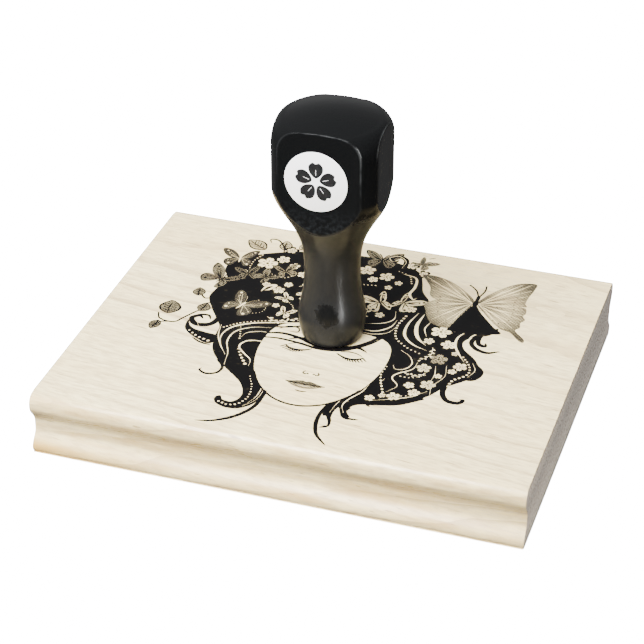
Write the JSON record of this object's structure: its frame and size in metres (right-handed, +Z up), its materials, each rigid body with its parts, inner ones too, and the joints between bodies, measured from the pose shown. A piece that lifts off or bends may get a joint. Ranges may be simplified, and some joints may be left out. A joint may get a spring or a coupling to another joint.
{
  "type": "rubber stamp",
  "caption": "Wood-mounted rubber stamp: moulded maple block with an index print, turned black handle that unscrews, foam cushion and raised rubber die below.",
  "frame": {"origin": "on the table under the middle of the stamp's box, with the printing relief resting at z = 0", "axes": "+X along the block's long side, -Y towards the front edge where the print's chin points, +Z up the handle"},
  "size_m": [0.127, 0.101, 0.0862],
  "materials": {
    "maple": "fine sanded bare maple, satin",
    "black_lacquer": "gloss black lacquer",
    "label_paper": "semi-gloss coated paper",
    "zinc_plate": "zinc plated",
    "bolt_steel": "bright steel",
    "adhesive_film": "clear satin film",
    "foam": "matte closed-cell foam",
    "rubber": "matte moulded rubber"
  },
  "bodies": {
    "block": {"mount_block": "maple", "tee_nut": "zinc_plate", "block_adhesive": "adhesive_film", "cushion": "foam", "die_adhesive": "adhesive_film", "rubber_die": "rubber"},
    "stud": {"hanger_bolt": "bolt_steel"},
    "handle": {"handle": "black_lacquer", "label_disc": "label_paper"}
  },
  "joints": [
    {"name": "handle_lift", "type": "slide", "parent": "block", "child": "stud", "axis": [0, 0, 1], "range_m": [0, 0.012]},
    {"name": "handle_turn", "type": "hinge", "parent": "stud", "child": "handle", "pos_m": [-0.0008, 0.0012, 0.022], "axis": [0, 0, 1], "range_deg": [0, 3240]}
  ],
  "couplings": [
    {"joint": "handle_lift", "follows": "handle_turn", "m_per_rad": 0.00020213}
  ]
}
